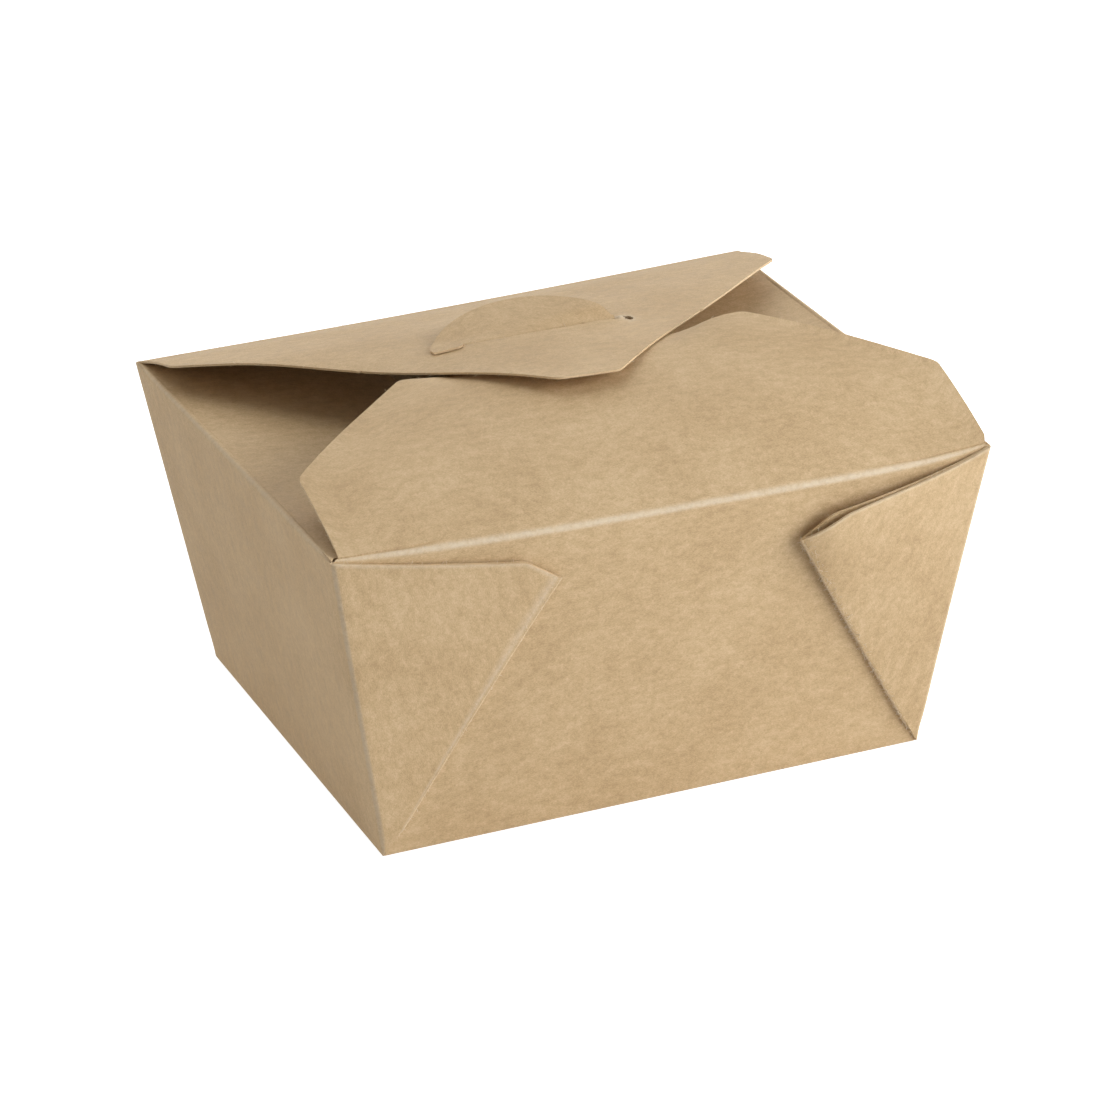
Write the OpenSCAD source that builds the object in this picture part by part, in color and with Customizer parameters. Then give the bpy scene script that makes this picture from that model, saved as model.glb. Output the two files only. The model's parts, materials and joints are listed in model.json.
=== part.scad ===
// Fold-top takeaway box, folded by hand from one sheet of kraft card.
// Every face is a flat or gently bent panel of card, joined at its creases.
// The origin is the middle of the base underside; +Z up, front wall towards -Y.

/* [Tray] */
// Width of the base, left to right
base_w = 111; // [80:1:122]
// Depth of the base, front wall to rear wall
base_d = 92; // [70:1:100]
// Width across the top creases, left to right
top_w = 132; // [126:1:150]
// Depth across the top creases, front to rear
top_d = 109; // [104:1:116]
// Height of the top creases above the table
height = 64; // [45:1:90]
// Thickness of the card
card = 0.4; // [0.3:0.05:0.5]

/* [Corner webs] */
// Air left between one folded ply and the next
ply_gap = 0.1; // [0.05:0.05:0.2]
// How far a web's folded edge reaches in from the corner, at its tip
web_reach = 41.5; // [30:0.5:46]
// Height of that tip, measured up the wall
web_tip_up = 52.5; // [38:0.5:54]
// Length of the clipped end, from the tip towards the corner
web_clip = 7; // [3:0.5:10]
// Rise of the clipped end over that length
web_clip_up = 5; // [2:0.5:7]
// How far the tips of the slack webs stand off the wall
slack_lift = 1.8; // [0:0.1:3]
// How far the tips of the tight webs stand off the wall
tight_lift = 0.5; // [0:0.1:3]

/* [Side flaps] */
// Length of each side flap, folded in under the others
side_flap_len = 45; // [25:1:55]
// Angle at which a side flap sags below level
side_flap_sag = 4; // [1:0.5:12]
// Size of the clipped corners of a side flap
side_flap_clip = 16; // [5:1:22]
// Gap from a flap's end to the box's corner, along the crease
flap_inset = 1.4; // [1:0.1:4]

/* [Front flap] */
// Reach of the front flap, level distance from its crease to its far edge
front_reach = 48.5; // [40:0.5:50]
// Width of the far edge, between the two slanted sides
front_far_w = 71; // [50:1:90]
// Level length of the square sides, before the slanted ones start
front_square = 20.8; // [10:0.2:28]
// Height of the far edge above the crease
front_rise = 12.9; // [11:0.1:14]
// How far in from the far edge the lid presses the flap's middle down
press_len = 13; // [8:0.5:16]

/* [Lid flap and its slit] */
// Reach of the lid flap, level distance from its crease to its blunt point
lid_reach = 77.5; // [70:0.5:82]
// Width of the blunt point
lid_point_w = 12.6; // [6:0.5:20]
// Level length of the lid's square sides
lid_square = 19; // [10:0.5:26]
// Angle at which the lid leaves its crease when closed
lid_angle = 18.3; // [17.5:0.1:19]
// Radius of the lid's gentle arch
lid_arch_r = 300; // [280:5:360]
// Level distance from the lid's crease to its slit
slit_reach = 46; // [44:0.1:48]
// Length of the straight part of the slit
slit_len = 40; // [38:0.5:48]
// How wide the slit gapes round the tongue
slit_gape = 1.9; // [1.7:0.1:2.4]
// Radius of the round stops at the slit's ends
slit_stop_r = 1.2; // [1.1:0.1:1.8]

/* [Tongue] */
// Width of the neck that passes through the slit
neck_w = 31; // [20:0.5:34]
// Width of the tongue where it leaves the front flap
root_w = 34; // [32:0.5:40]
// Width of the half-moon tab across its ears
tab_w = 38.6; // [36:0.2:44]
// Length of the tab behind the slit
tab_len = 13.8; // [8:0.2:20]
// Rise of the tab's tip over its length, from the slit
tab_rise = 2.7; // [1.5:0.1:5]
// Air between the lid and the flap that it presses on
lid_clear = 0.3; // [0.15:0.05:0.6]

/* [Hidden] */

// A pressed crease swells a little more than half the card
crease_swell = 0.06;
crease_r = card / 2 + crease_swell;
// The bead under a side flap runs on a little past the flap's ends
crease_run = 0.5;
// The lid's own bead turns on its axis just above the rear wall
hinge_gap = 0.08;
crease_floor_gap = 0.02;
corner_round = 1.6;
bead_faces = 32;
arch_faces = 1440;
tab_steps = 12;
overlap = 1;
// A flap's outline starts this far behind its crease line
flap_tuck = 3;

// Straight-line, curve and corner helpers
function unit(v) = v / norm(v);
function mix(a, b, f) = a * (1 - f) + b * f;
function bezier(p, f) =
    p[0] * pow(1 - f, 3) + 3 * p[1] * f * pow(1 - f, 2) + 3 * p[2] * f * f * (1 - f) + p[3] * pow(f, 3);
function bezier_dir(p, f) =
    unit((p[1] - p[0]) * pow(1 - f, 2) + 2 * (p[2] - p[1]) * f * (1 - f) + (p[3] - p[2]) * f * f);
function across(v) = [-v.y, v.x];
function smooth(f) = f * f * (3 - 2 * f);
function limit(f) = max(0, min(1, f));

// Each corner of an outline replaced by a short curve
function rounded(pts, r, steps = 4) = [
    for (i = [0 : len(pts) - 1])
        let (
            p = pts[i],
            a = unit(pts[(i + len(pts) - 1) % len(pts)] - p),
            b = unit(pts[(i + 1) % len(pts)] - p)
        )
        for (k = [0 : steps])
            let (f = k / steps)
            p + r * (a * pow(1 - f, 2) + b * f * f)
];

// Middle surface of the card at the base and top corners
bw = base_w / 2 - card / 2;
bd = base_d / 2 - card / 2;
tw = top_w / 2 - card / 2;
td = top_d / 2 - card / 2;
zb = crease_r + crease_floor_gap;
zt = height;
ply = card + ply_gap;
stack = 2 * ply;
wall_len = norm([td - bd, zt - zb]);
wall_up = [0, td - bd, zt - zb] / wall_len;
wall_out = [0, zt - zb, bd - td] / wall_len;
// The webs end this far below the top creases and start this far above the base
web_drop = 0.4;
web_foot = 0.8;
// Card folded right back on itself is two plies and their air, slightly swollen
back_fold_swell = 0.03;
back_fold_r = card + ply_gap / 2 + back_fold_swell;
fold_inset = card / 2 + back_fold_r + ply_gap;

// The lid is an arc in the side view: its rise above its crease at a level distance from it
function lid_rise(d) =
    sqrt(pow(lid_arch_r, 2) - pow(lid_arch_r * sin(lid_angle) - d, 2)) - lid_arch_r * cos(lid_angle);
// The slit's place seen from the front crease, and where the tab's ears start behind it
slit_from_front = 2 * td - slit_reach;
ear_behind = 0.3;
ear_from_front = slit_from_front + slit_gape / 2 + ear_behind;
slit_rise = lid_rise(slit_reach);

// Side view of the front flap from its crease: steep at first, nearly level at its far edge
front_curve = [
    [0, 0],
    [0.33 * front_reach, 0.645 * front_rise],
    [0.667 * front_reach, 0.908 * front_rise],
    [front_reach, front_rise]
];
front_mid_rise = lid_rise(2 * td - front_reach) - card - lid_clear;
front_rows = 12;
front_cols = 12;
press_fade = 9;
// Half-width of the lid where it crosses the front flap's far edge
press_half = mix(
    lid_point_w / 2,
    tw - flap_inset,
    (lid_reach - 2 * td + front_reach) / (lid_reach - lid_square)
) + lid_clear;

// Side view of the tongue: dips under the lid, climbs through the slit, lies out over the lid
tongue_curves = [
    [
        [front_reach - 0.4, front_mid_rise + 0.05],
        [mix(front_reach, slit_from_front, 0.32), front_mid_rise - 0.6],
        [slit_from_front - 3.4, slit_rise - 1.7],
        [slit_from_front, slit_rise]
    ],
    [
        [slit_from_front, slit_rise],
        [slit_from_front + 2, slit_rise + 1],
        [slit_from_front + tab_len / 2, slit_rise + 0.62 * tab_rise],
        [slit_from_front + tab_len + 3, slit_rise + 1.2 * tab_rise]
    ]
];

// A flat panel of card through three or more points of its middle surface
module panel(pts) {
    o = pts[0];
    ux = unit(pts[1] - o);
    n = unit(cross(ux, pts[2] - o));
    uy = cross(n, ux);
    multmatrix([
        [ux.x, uy.x, n.x, o.x],
        [ux.y, uy.y, n.y, o.y],
        [ux.z, uy.z, n.z, o.z],
        [0, 0, 0, 1]
    ])
        translate([0, 0, -card / 2])
            linear_extrude(card)
                polygon([for (p = pts) [(p - o) * ux, (p - o) * uy]]);
}

// The bead of a crease from one point to another
module crease(a, b, ra = crease_r, rb = crease_r) {
    dir = b - a;
    translate(a)
        rotate([0, acos(dir.z / norm(dir)), atan2(dir.y, dir.x)])
            cylinder(h = norm(dir), r1 = ra, r2 = rb, $fn = bead_faces);
}

// A curve's band of card thickness in the side view, drawn right across the box
module band(curves, width, steps = 10) {
    pts = [for (c = curves) for (k = [0 : steps]) if (c == curves[0] || k > 0) bezier(c, k / steps)];
    dirs = [for (c = curves) for (k = [0 : steps]) if (c == curves[0] || k > 0) bezier_dir(c, k / steps)];
    last = len(pts) - 1;
    rotate([90, 0, 90])
        linear_extrude(width, center = true)
            polygon(concat(
                [for (i = [0 : last]) pts[i] + across(dirs[i]) * card / 2],
                [for (i = [last : -1 : 0]) pts[i] - across(dirs[i]) * card / 2]
            ));
}

module base() {
    translate([-bw, -bd, 0])
        cube([2 * bw, 2 * bd, card]);
    for (s = [-1, 1]) {
        crease([-bw, s * bd, zb], [bw, s * bd, zb]);
        crease([s * bw, -bd, zb], [s * bw, bd, zb]);
    }
}

// Front and rear walls; each ends short of the corner, where it folds back into a web.
// The rear wall stops just under the bead that the lid turns on.
module end_wall(side, top_cut) {
    top_f = 1 - top_cut / wall_len;
    foot = [bw, side * bd, zb];
    head = [tw - fold_inset, side * td, zt];
    mirrored = [-1, 1, 1];
    a = mix(foot, head, top_f);
    panel([
        [-foot.x, foot.y, foot.z],
        foot,
        a,
        [-a.x, a.y, a.z]
    ]);
}

module side_wall(side) {
    foot_y = bd + stack;
    head_y = td + stack;
    panel([
        [side * bw, -foot_y, zb],
        [side * bw, foot_y, zb],
        [side * tw, head_y, zt],
        [side * tw, -head_y, zt]
    ]);
}

// One corner web: two plies joined along the slanted fold, one joined to the end
// wall by a fold right back on itself, the other to the side wall at the corner.
module web(sx, sy, lift) {
    out = [0, sy * wall_out.y, wall_out.z];
    up = [0, sy * wall_up.y, wall_up.z];
    base_line = [0, sy * bd, zb];
    edge = [sx * (tw - bw), 0, 0] / wall_len + up;
    foot = [sx * bw, sy * bd, zb] + edge * web_foot;
    tip_x = sx * (tw - web_reach);
    tip = [tip_x, 0, 0] + base_line + up * web_tip_up;
    clip = [tip_x + sx * web_clip, 0, 0] + base_line + up * (web_tip_up + web_clip_up);
    head = [sx * tw, sy * td, zt] - up * web_drop;
    head_in = [sx * (tw - fold_inset), sy * td, zt] - up * web_drop;
    skin(foot, head, clip, tip, out, stack, lift);
    skin(foot, head_in, clip, tip, out, ply, lift);
    crease(foot + out * stack, head + out * stack);
    crease(foot + out * ply / 2, head_in + out * ply / 2, back_fold_r, back_fold_r);
    mid = (ply + stack) / 2;
    crease(foot + out * mid, tip + out * (mid + lift), back_fold_r, back_fold_r);
}

// One ply of a web, standing off its wall by its place in the stack and lifted at the tip
module skin(foot, head, clip, tip, out, layer, lift) {
    a = foot + out * layer;
    b = head + out * layer;
    d = tip + out * (layer + lift);
    n = cross(b - a, d - a);
    c = clip + out * ((a - clip) * n) / (out * n);
    panel([a, b, c, d]);
}

module side_flap(side) {
    reach = [-side * cos(side_flap_sag), 0, -sin(side_flap_sag)];
    end_y = td - flap_inset;
    hinge_front = [side * tw, -end_y, zt];
    hinge_rear = [side * tw, end_y, zt];
    straight = side_flap_len - side_flap_clip;
    panel([
        hinge_front,
        hinge_rear,
        hinge_rear + reach * straight,
        hinge_rear + reach * side_flap_len + [0, -side_flap_clip, 0],
        hinge_front + reach * side_flap_len + [0, side_flap_clip, 0],
        hinge_front + reach * straight
    ]);
    crease(hinge_front - [0, crease_run, 0], hinge_rear + [0, crease_run, 0]);
}

// A bent sheet between an upper and a lower grid of points
module sheet(upper, lower) {
    rows = len(upper);
    cols = len(upper[0]);
    under = rows * cols;
    rim = concat(
        [for (j = [0 : cols - 2]) j],
        [for (i = [0 : rows - 2]) i * cols + cols - 1],
        [for (j = [cols - 1 : -1 : 1]) (rows - 1) * cols + j],
        [for (i = [rows - 1 : -1 : 1]) i * cols]
    );
    polyhedron(
        points = concat([for (r = upper) each r], [for (r = lower) each r]),
        faces = concat(
            [for (i = [0 : rows - 2]) for (j = [0 : cols - 2]) let (a = i * cols + j)
                each [[a, a + cols, a + cols + 1], [a, a + cols + 1, a + 1]]],
            [for (i = [0 : rows - 2]) for (j = [0 : cols - 2]) let (a = under + i * cols + j)
                each [[a, a + cols + 1, a + cols], [a, a + 1, a + cols + 1]]],
            [for (k = [0 : len(rim) - 1]) let (a = rim[k], b = rim[(k + 1) % len(rim)])
                each [[a, b, b + under], [a, b + under, a + under]]]
        )
    );
}

// Height of the front flap above its crease, and how far the lid presses it down
function press(x, d) =
    let (
        along = limit((d - front_reach + press_len) / press_len),
        beside = limit((abs(x) - press_half) / press_fade)
    )
    (front_rise - front_mid_rise) * along * along * (1 - smooth(beside));

// The front flap's outline in plan, from its crease
function front_outline() =
    let (w = tw - flap_inset)
    [[w, -flap_tuck], [w, front_square], [front_far_w / 2, front_reach],
     [-front_far_w / 2, front_reach], [-w, front_square], [-w, -flap_tuck]];

module front_flap() {
    half = tw - flap_inset + overlap;
    xs = [for (i = [-front_cols : front_cols]) half * i / front_cols];
    fs = [for (k = [0 : front_rows]) k / (front_rows - 1)];
    mids = [for (f = fs) bezier(front_curve, f)];
    offs = [for (f = fs) across(bezier_dir(front_curve, f)) * card / 2];
    upper = [for (k = [0 : front_rows]) let (p = mids[k], n = offs[k])
        [for (x = xs) [x, p.x + n.x - td, zt + p.y + n.y - press(x, p.x)]]];
    lower = [for (k = [0 : front_rows]) let (p = mids[k], n = offs[k])
        [for (x = xs) [x, p.x - n.x - td, zt + p.y - n.y - press(x, p.x)]]];
    intersection() {
        sheet(upper, lower);
        translate([0, -td, zt - overlap])
            linear_extrude(front_rise + 3 * overlap)
                polygon(rounded(front_outline(), corner_round));
    }
    crease([-tw + flap_inset, -td, zt], [tw - flap_inset, -td, zt]);
}

module carton() {
    color("tan") {
        base();
        end_wall(-1, 0);
        end_wall(1, crease_r + hinge_gap);
        for (side = [-1, 1]) {
            side_wall(side);
            side_flap(side);
            web(side, side, tight_lift);
            web(side, -side, slack_lift);
        }
        front_flap();
    }
}

// The lid's slit: a straight cut with a round stop turned back at each end
module slit() {
    square([slit_len, slit_gape], center = true);
    for (side = [-1, 1])
        translate([side * slit_len / 2, slit_stop_r - slit_gape / 2])
            circle(slit_stop_r, $fn = bead_faces);
}

module rear_flap() {
    w = tw - flap_inset;
    outline = [
        [-w, flap_tuck], [-w, -lid_square], [-lid_point_w / 2, -lid_reach],
        [lid_point_w / 2, -lid_reach], [w, -lid_square], [w, flap_tuck]
    ];
    crease_line = [[-w - overlap, -lid_reach - overlap], [2 * w + 2 * overlap, lid_reach + overlap]];
    color("burlywood") {
        intersection() {
            translate([0, td - lid_arch_r * sin(lid_angle), zt - lid_arch_r * cos(lid_angle)])
                rotate([90, 0, 90])
                    linear_extrude(2 * w + 2 * overlap, center = true)
                        difference() {
                            circle(lid_arch_r + card / 2, $fn = arch_faces);
                            circle(lid_arch_r - card / 2, $fn = arch_faces);
                        }
            translate([0, td, zt])
                linear_extrude(lid_rise(lid_reach) + overlap)
                    difference() {
                        intersection() {
                            polygon(rounded(outline, corner_round));
                            translate(crease_line[0])
                                square(crease_line[1]);
                        }
                        translate([0, -slit_reach])
                            slit();
                    }
        }
        crease([-w, td, zt], [w, td, zt]);
    }
}

// The tongue: down from the front flap's far edge, up through the slit and out over the lid
module lock_tab() {
    // the half-moon is an arc through both ears and the tip
    r = (pow(tab_w / 2, 2) + pow(tab_len, 2)) / (2 * tab_len);
    sweep = asin(tab_w / 2 / r) + (tab_len > tab_w / 2 ? 180 - 2 * asin(tab_w / 2 / r) : 0);
    middle = ear_from_front + tab_len - r;
    neck = [
        [root_w / 2, front_reach],
        [neck_w / 2, slit_from_front],
        [neck_w / 2, ear_from_front]
    ];
    color("peru")
        intersection() {
            translate([0, -td, zt])
                band(tongue_curves, tab_w + 2 * overlap);
            translate([0, -td, zt])
                linear_extrude(lid_rise(lid_reach) + 3 * overlap)
                    polygon(concat(
                        neck,
                        [for (k = [tab_steps : -1 : -tab_steps]) let (a = sweep * k / tab_steps)
                            [r * sin(a), middle + r * cos(a)]],
                        [for (k = [2 : -1 : 0]) [-neck[k].x, neck[k].y]]
                    ));
        }
}

carton();
rear_flap();
lock_tab();
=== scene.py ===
# %% [markdown]
# # A fold-top takeaway box
# The box is one cut sheet of brown kraft card, creased, folded and locked with a tongue.
# Nothing is glued: the corners fold into two-ply webs that lie on the front and rear walls.
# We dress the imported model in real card: one continuous sheet with rounded folds and visible
# cut edges, which still sits exactly where the construction says.

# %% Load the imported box
import json
import math
import bmesh
import bpy
import numpy as np
from mathutils import Matrix, Vector


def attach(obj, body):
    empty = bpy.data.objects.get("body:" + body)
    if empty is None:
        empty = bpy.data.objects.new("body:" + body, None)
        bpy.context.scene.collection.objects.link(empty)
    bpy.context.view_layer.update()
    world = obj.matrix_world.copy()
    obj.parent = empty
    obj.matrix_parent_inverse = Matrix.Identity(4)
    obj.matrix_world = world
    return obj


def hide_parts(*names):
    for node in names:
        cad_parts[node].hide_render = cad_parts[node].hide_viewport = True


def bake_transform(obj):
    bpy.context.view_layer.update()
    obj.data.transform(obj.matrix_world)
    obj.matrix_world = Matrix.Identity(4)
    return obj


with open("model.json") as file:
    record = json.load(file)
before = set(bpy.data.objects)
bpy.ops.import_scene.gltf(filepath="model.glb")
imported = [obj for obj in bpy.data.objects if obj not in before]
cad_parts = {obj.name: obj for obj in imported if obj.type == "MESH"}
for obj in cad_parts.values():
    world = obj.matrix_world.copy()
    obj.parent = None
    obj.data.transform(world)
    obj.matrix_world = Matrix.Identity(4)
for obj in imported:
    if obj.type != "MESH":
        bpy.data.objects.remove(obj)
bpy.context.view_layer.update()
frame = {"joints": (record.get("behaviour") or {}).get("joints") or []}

# %% [markdown]
# ## Sizes
# We work in millimetres and turn the finished meshes into metres at the end.
# Points lie on the middle of the card, so half the card's thickness comes off each outside size.
# The lid's crease is the joint's axis, which the frame already knows.

# %% Sizes of the sheet
MM = 0.001
CARD = 0.4
HALF = CARD / 2
hinge = frame["joints"][0]["pos_m"]
TOP_D = hinge[1] / MM
TOP_Z = hinge[2] / MM
TOP_W = 65.8
BASE_W, BASE_D, BASE_Z = 55.3, 45.8, HALF
PLY = 0.5
FLAP_HALF = 64.4
lean = math.atan2(TOP_D - BASE_D, TOP_Z - BASE_Z)
WALL_UP = np.array([0, math.sin(lean), math.cos(lean)])
print("walls lean out by", round(math.degrees(lean), 1), "degrees at the front")

# %% [markdown]
# ## Small helpers
# A fold in card is never a sharp line: the board turns over a radius about its own thickness.
# Every fold here is a short curve from one panel's end to the next panel's start, pulled
# towards the corner between them. The rest is easing and mixing.

# %% Helpers
def unit(v):
    return v / np.linalg.norm(v)


def mix(a, b, f):
    return a + (b - a) * f


def smooth(f):
    f = np.clip(f, 0, 1)
    return f * f * (3 - 2 * f)


def bend_curve(start, corner, end, steps):
    """Points of a soft fold from start to end; corner is where the two panels would meet."""
    f = np.linspace(0, 1, steps + 1).reshape(-1, *[1] * np.ndim(start))
    return start * (1 - f) ** 2 + 2 * corner * f * (1 - f) + end * f ** 2


def ridge(steps):
    """0 at both ends of a fold and 1 along its middle, for its pale band: rubbing, and on some
    folds painted highlight.
    """
    return np.sin(np.linspace(0, math.pi, steps + 1))


def crease_ends(crease, back, ahead, trim):
    """Where the two panels stop short of a fold whose crest runs along the crease line."""
    middle = unit(back + ahead)
    corner = crease - middle * (0.5 * trim * (back @ middle))
    return corner + back * trim, corner, corner + ahead * trim


# %% [markdown]
# ## A sheet made of grids
# Each panel is a grid of points on the card's middle surface. Grids that share an edge use the
# same points there, so they weld into one sheet. Every corner of every face also keeps its place
# in the flat, unfolded sheet: that map makes the paper's grain run on through the folds.

# %% The sheet builder
WELD, NET_SCALE = 0.001, 0.01


class CardSheet:
    """Grids of middle-surface points, in millimetres, welded where they meet."""

    def __init__(self):
        self.points, self.net, self.wear, self.fray, self.faces = [], [], [], [], []
        self.count = 0

    def add(self, points, net, wear=None, keep=None, fray=None):
        rows, cols = points.shape[:2]
        index = self.count + np.arange(rows * cols).reshape(rows, cols)
        quads = np.stack([index[:-1, :-1], index[:-1, 1:], index[1:, 1:], index[1:, :-1]], -1)
        if keep is not None:
            quads = quads[keep]
        self.faces.append(quads.reshape(-1, 4))
        self.points.append(points.reshape(-1, 3))
        self.net.append(net.reshape(-1, 2))
        self.wear.append((np.zeros((rows, cols)) if wear is None else wear).ravel())
        self.fray.append((np.zeros((rows, cols)) if fray is None else fray).ravel())
        self.count += rows * cols

    def mesh(self, name):
        points = rim_twist(np.vstack(self.points))
        net, faces = np.vstack(self.net), np.vstack(self.faces)
        made = bpy.data.meshes.new(name)
        made.from_pydata(points.tolist(), [], faces.tolist())
        loops = np.array([loop.vertex_index for loop in made.loops])
        layer = made.uv_layers.new(name="net")
        layer.data.foreach_set("uv", (net[loops] * NET_SCALE).astype(np.float32).ravel())
        # The first mark is pale rubbed card; on the front crease and the vertical corners it is
        # also a painted highlight.
        for label, values in (("wear", self.wear), ("fray", self.fray)):
            layer = made.attributes.new(label, "FLOAT", "POINT")
            layer.data.foreach_set("value", np.concatenate(values).astype(np.float32))
        work = bmesh.new()
        work.from_mesh(made)
        bmesh.ops.remove_doubles(work, verts=work.verts, dist=WELD)
        loose = [v for v in work.verts if not v.link_faces]
        bmesh.ops.delete(work, geom=loose, context="VERTS")
        bmesh.ops.recalc_face_normals(work, faces=work.faces)
        work.to_mesh(made)
        work.free()
        return made


def column_lengths(points, start):
    """Distance along each column of a grid, from its first row."""
    steps = np.linalg.norm(np.diff(points, axis=0), axis=2)
    return start + np.vstack([np.zeros(points.shape[1]), np.cumsum(steps, axis=0)])


# %% [markdown]
# ## The rim is never quite level
# Hand-folded card has a little twist. The photograph shows the front left corner standing about
# a millimetre high and the front right one a little low, so we lift the corners smoothly,
# from nothing at the base to the full amount at the rim. Both long creases sag between their
# corners, and the front wall's foot stands out a little. The two top flaps are pulled askew as
# well: a small table says how far each one's left and right sides move at a few reaches.

# %% Twist of the rim and pull of the flaps
RIM_LIFT = {"front_left": 1.02, "front_right": -0.58, "rear_left": -0.65, "rear_right": 0.71}
REAR_SAG, FRONT_SAG, FOOT_OUT = 0.6, 1.7, 1.45
SAG_POWER_LEFT, SAG_POWER_RIGHT = 2.1, 7
# Rows: reach, then (sideways, up) on the left and (sideways, up) on the right.
FLAP_PULL = {"front": [(0, (0.2, 0.0), (0.2, 0.0)), (1.5, (0.4, 0.0), (1.5, 0.0)),
                       (20.8, (0.5, -0.45), (1.25, 0.7)), (48.5, (1.9, -1.2), (2.2, 0.85))],
             "lid": [(0, (-0.5, 0.0), (0.6, 0.6)), (10.0, (-0.5, 0.2), (0.5, 0.6)),
                     (19.0, (-0.5, 0.0), (0.3, 0.1)), (77.5, (-1.95, -0.4), (-1.9, -0.8))]}


def ease_through(stops, values, reach):
    """A curve that eases from each value to the next one."""
    k = np.clip(np.searchsorted(stops, reach, side="right") - 1, 0, len(stops) - 2)
    stops, values = np.array(stops, float), np.array(values, float)
    part = smooth((reach - stops[k]) / (stops[k + 1] - stops[k]))
    return mix(values[k], values[k + 1], part)


def flap_pull(name, share, reach):
    """Sideways and upward pull of a flap; share runs from -1 at its left to 1 at its right."""
    table = FLAP_PULL[name]
    stops = [row[0] for row in table]
    right = np.clip((share + 1) / 2, 0, 1)
    pull = [mix(ease_through(stops, [row[1][k] for row in table], reach),
                ease_through(stops, [row[2][k] for row in table], reach), right) for k in (0, 1)]
    return np.stack([pull[0], np.zeros_like(pull[0]), pull[1]], -1)


def rim_twist(points):
    """Moves the whole folded sheet by the lifts, the sags and the standing foot."""
    out = points.copy()
    right = np.clip(points[:, 0] / TOP_W, -1.05, 1.05) / 2 + 0.5
    rear = np.clip(points[:, 1] / TOP_D, -1.05, 1.05) / 2 + 0.5
    front_lift = mix(RIM_LIFT["front_left"], RIM_LIFT["front_right"], right)
    rear_lift = mix(RIM_LIFT["rear_left"], RIM_LIFT["rear_right"], right)
    up = np.clip(points[:, 2] / TOP_Z, 0, 1)
    out[:, 2] += mix(front_lift, rear_lift, rear) * up
    out[:, 2] -= REAR_SAG * (1 - (points[:, 0] / TOP_W) ** 2) * rear ** 6 * up ** 4
    sag_power = np.where(points[:, 0] < 0, SAG_POWER_LEFT, SAG_POWER_RIGHT)
    droop = 1 - np.abs(points[:, 0] / TOP_W) ** sag_power
    out[:, 2] -= FRONT_SAG * droop * (1 - rear) ** 6 * up ** 12
    out[:, 1] -= FOOT_OUT * (1 - up) ** 2 * (1 - rear) ** 2
    return out


# %% [markdown]
# ## Corner line
# A corner of the box runs from its foot at the base to its head just under the rim. All the
# pieces that meet there share the same stations along it. Near the foot the web narrows to
# nothing, so the plies close up and every radius shrinks with the web's width.

# %% Corner stations
STATIONS = 27
FOOT = np.array([BASE_W, BASE_D, BASE_Z])
HEAD = np.array([TOP_W + 0.02, TOP_D + 0.04, TOP_Z - 0.12])
BASE_TRIM, TOP_TRIM = 0.42, 0.9
t_first = BASE_TRIM * math.cos(lean) / (HEAD[2] - FOOT[2])
station = t_first + (1 - t_first) * np.linspace(0, 1, STATIONS - 1) ** 1.15
station = np.append(station[:-1], [1 - TOP_TRIM / HEAD[2], 1.0])
climb = (station - station[0]) / (1 - station[0])
CORNER_R, CORNER_INSET, WEB_TOP = 0.75, 0.8, 43.0
FOOT_SHARE, TIGHT_FROM, TIGHT_OVER = 0.12, 0.93, 0.07


def corner_points(t):
    """Points of the corner line: t is 0 at its foot and 1 at its head."""
    return FOOT + (HEAD - FOOT) * np.asarray(t)[..., None]


def web_width(t):
    return WEB_TOP * t


def ply_height(layer, t):
    """How far a ply's middle stands off the wall: plies close up towards the foot."""
    return layer * PLY * (0.45 + 0.55 * smooth(t / FOOT_SHARE))


def corner_radius(t):
    return np.minimum(CORNER_R, 0.4 * web_width(t))


def corner_inset(t):
    tight = 1 - 0.45 * smooth((t - TIGHT_FROM) / TIGHT_OVER)
    return np.minimum(CORNER_INSET, 0.5 * web_width(t)) * tight


def wall_end_x(t):
    """Half-width of the front and rear walls, which end short of the corner."""
    return corner_points(t)[..., 0] - corner_inset(t)


def side_end_y(t):
    """Half-depth of the side walls, up to where they start to turn the corner."""
    return corner_points(t)[..., 1] + ply_height(2, t) / math.cos(lean) - corner_radius(t)


def wall_edge(t):
    """The line where the front and rear walls end."""
    return corner_points(t) - np.array([1, 0, 0]) * corner_inset(t)[:, None]


def side_edge(t):
    """The line where the side walls start to turn the corner."""
    corner = corner_points(t)
    return np.stack([corner[:, 0], side_end_y(t), corner[:, 2]], -1)


print("corner stations:", len(station), "from", round(corner_points(station[0])[2], 2), "mm up")

# %% [markdown]
# ## Flap outlines
# A flap's side view is a curve and its plan is an outline: square at first, then slanting in.
# The outline's corners are softened a little, as a cutting die leaves them. From the outline
# we read the half-width at any distance from the crease.

# %% Outline of a flap
def outline(*corners, steps=6):
    """Half-width against reach. Each corner is its reach, its half-width and how soft it is."""
    points = [np.array(c[:2], float) for c in corners]
    line = [points[0]]
    for k in range(1, len(corners) - 1):
        here, radius = points[k], corners[k][2]
        start = here + unit(points[k - 1] - here) * radius
        end = here + unit(points[k + 1] - here) * radius
        line.extend(bend_curve(start, here, end, steps))
    return np.array(line)


def half_width(line, reach):
    """Half the flap's width at a distance from its crease."""
    return np.interp(reach, line[:, 0], line[:, 1])


def rows_for(line, first, last, count):
    """Reaches for a flap's rows: evenly spread ones and one at each point of the outline."""
    reaches = np.concatenate([np.linspace(first, last, count), line[:, 0]])
    reaches = np.unique(np.round(reaches[(reaches >= first) & (reaches <= last)], 3))
    keep = np.concatenate([[True], np.diff(reaches) > 0.04])
    return reaches[keep]


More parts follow.
